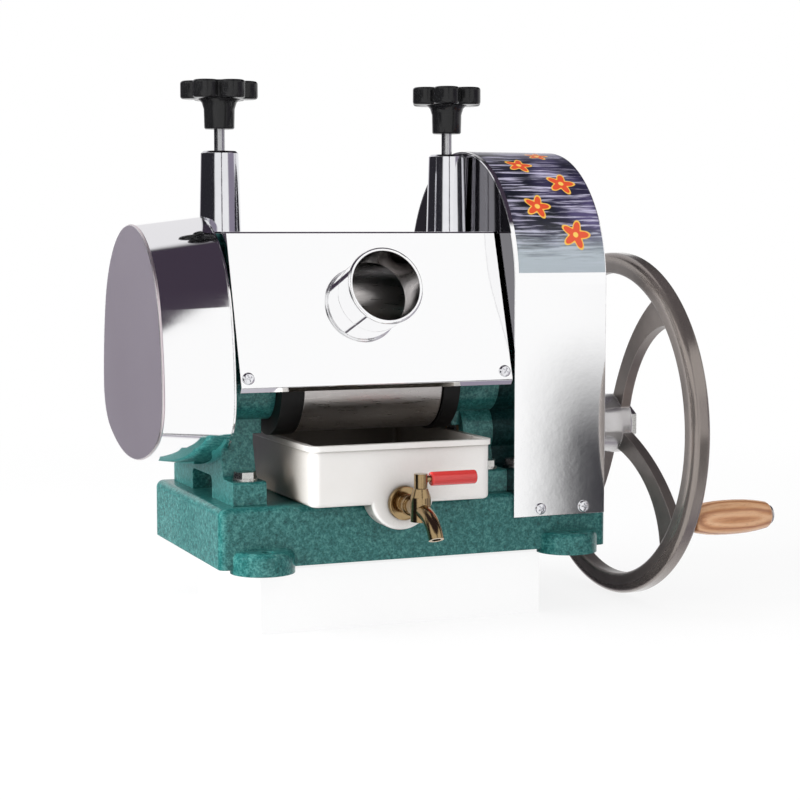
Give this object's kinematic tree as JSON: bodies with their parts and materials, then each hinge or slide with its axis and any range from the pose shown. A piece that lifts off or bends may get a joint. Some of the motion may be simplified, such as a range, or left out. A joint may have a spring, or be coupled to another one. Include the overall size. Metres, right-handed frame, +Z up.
{
  "type": "manual sugarcane juicer",
  "caption": "Hand cranked table-top cane press with geared steel rollers in a cast stand, mirror sheet covers, sloping feed tube, star knobs, spoked hand wheel and a juice tray with a tap.",
  "frame": {"origin": "centre of the four bolt holes of the base, in the plane of its feet", "axes": "+X along the rollers from the roller gears to the hand wheel, +Y from the feed side to the cane outlet, +Z up"},
  "size_m": [0.5705, 0.3926, 0.4926],
  "materials": {
    "green_casting": "hammertone enamel, semi gloss",
    "machined_steel": "turned, lightly oiled",
    "roller_steel": "polished stainless",
    "gear_iron": "cut teeth, greased",
    "seal_black": "moulded, satin",
    "bush_bronze": "machined",
    "bright_chrome": "polished",
    "knob_black": "moulded, glossy",
    "mirror_sheet": "mirror polished stainless sheet",
    "zinc_fastener": "zinc plated",
    "wheel_iron": "dark enamel, glossy, rim polished",
    "grip_wood": "varnished",
    "tray_plastic": "cream, moulded",
    "tap_brass": "turned",
    "lever_red": "dipped sleeve",
    "gasket_rubber": "flat ring",
    "spring_steel": "oil dark"
  },
  "bodies": {
    "frame": {"base_casting": "green_casting", "left_stand": "green_casting", "right_stand": "green_casting", "crank_bracket": "green_casting", "frame_bolts": "zinc_fastener", "lower_bushes": "bush_bronze", "crank_bushes": "bush_bronze", "left_bearing_block": "bush_bronze", "right_bearing_block": "bush_bronze", "left_tower": "bright_chrome", "right_tower": "bright_chrome", "left_spring": "spring_steel", "right_spring": "spring_steel", "front_cover": "mirror_sheet", "feed_tube": "mirror_sheet", "cover_spacers": "machined_steel", "side_shields": "mirror_sheet", "rear_cover": "mirror_sheet", "bagasse_chute": "mirror_sheet", "left_cover": "mirror_sheet", "left_back_plate": "mirror_sheet", "gear_back_plate": "mirror_sheet", "gear_cover": "mirror_sheet", "cover_screws": "bright_chrome"},
    "top_roll": {"top_roller": "roller_steel", "top_shaft": "machined_steel", "top_collars": "seal_black", "top_shaft_nuts": "zinc_fastener", "top_gear": "gear_iron", "drive_gear": "gear_iron"},
    "front_roll": {"front_roller": "roller_steel", "front_shaft": "machined_steel", "front_collars": "seal_black", "front_shaft_nuts": "zinc_fastener", "front_gear": "gear_iron"},
    "rear_roll": {"rear_roller": "roller_steel", "rear_shaft": "machined_steel", "rear_collars": "seal_black", "rear_shaft_nuts": "zinc_fastener", "rear_gear": "gear_iron"},
    "crank": {"crank_shaft": "machined_steel", "crank_pinion": "gear_iron", "hand_wheel": "wheel_iron", "wheel_key": "machined_steel", "wheel_nut": "zinc_fastener", "handle_axle": "machined_steel"},
    "grip": {"handle_grip": "grip_wood"},
    "left_cap": {"left_pressure_cap": "machined_steel"},
    "right_cap": {"right_pressure_cap": "machined_steel"},
    "left_press": {"left_screw": "machined_steel", "left_knob": "knob_black"},
    "right_press": {"right_screw": "machined_steel", "right_knob": "knob_black"},
    "tray": {"juice_tray": "tray_plastic", "tap_gasket": "gasket_rubber", "tap_nut": "tap_brass", "tap_body": "tap_brass"},
    "tap_plug": {"tap_stem": "tap_brass", "tap_lever": "tap_brass", "lever_sleeve": "lever_red"}
  },
  "joints": [
    {"name": "top_roller_turn", "type": "hinge", "parent": "frame", "child": "top_roll", "pos_m": [0, 0, 0.23729], "axis": [1, 0, 0], "continuous": true},
    {"name": "front_roller_turn", "type": "hinge", "parent": "frame", "child": "front_roll", "pos_m": [0, -0.049, 0.1618], "axis": [1, 0, 0], "continuous": true},
    {"name": "rear_roller_turn", "type": "hinge", "parent": "frame", "child": "rear_roll", "pos_m": [0, 0.049, 0.1618], "axis": [1, 0, 0], "continuous": true},
    {"name": "crank_turn", "type": "hinge", "parent": "frame", "child": "crank", "pos_m": [0, -0.04, 0.1115], "axis": [1, 0, 0], "continuous": true},
    {"name": "grip_turn", "type": "hinge", "parent": "crank", "child": "grip", "pos_m": [0.288, -0.17269, 0.03334], "axis": [1, 0, 0], "continuous": true},
    {"name": "left_cap_lift", "type": "slide", "parent": "frame", "child": "left_cap", "axis": [0, 0, 1], "range_m": [-0.00525, 0.0035], "deforming": ["left_spring"]},
    {"name": "left_knob_turn", "type": "hinge", "parent": "left_cap", "child": "left_press", "pos_m": [-0.1545, 0, 0.39], "axis": [0, 0, 1], "range_deg": [-1080, 720]},
    {"name": "right_cap_lift", "type": "slide", "parent": "frame", "child": "right_cap", "axis": [0, 0, 1], "range_m": [-0.00525, 0.0035], "deforming": ["right_spring"]},
    {"name": "right_knob_turn", "type": "hinge", "parent": "right_cap", "child": "right_press", "pos_m": [0.0725, 0, 0.39], "axis": [0, 0, 1], "range_deg": [-1080, 720]},
    {"name": "tray_slide", "type": "slide", "parent": "frame", "child": "tray", "axis": [0, -1, 0], "range_m": [0, 0.2]},
    {"name": "tap_lever_turn", "type": "hinge", "parent": "tray", "child": "tap_plug", "pos_m": [-0.028, -0.1765, 0.07], "axis": [0, 0, -1], "range_deg": [0, 90]}
  ],
  "couplings": [
    {"joint": "front_roller_turn", "follows": "top_roller_turn", "ratio": -1},
    {"joint": "rear_roller_turn", "follows": "top_roller_turn", "ratio": -1},
    {"joint": "crank_turn", "follows": "top_roller_turn", "ratio": -3.6316},
    {"joint": "left_cap_lift", "follows": "left_knob_turn", "m_per_rad": 0.00027852},
    {"joint": "right_cap_lift", "follows": "right_knob_turn", "m_per_rad": 0.00027852}
  ]
}
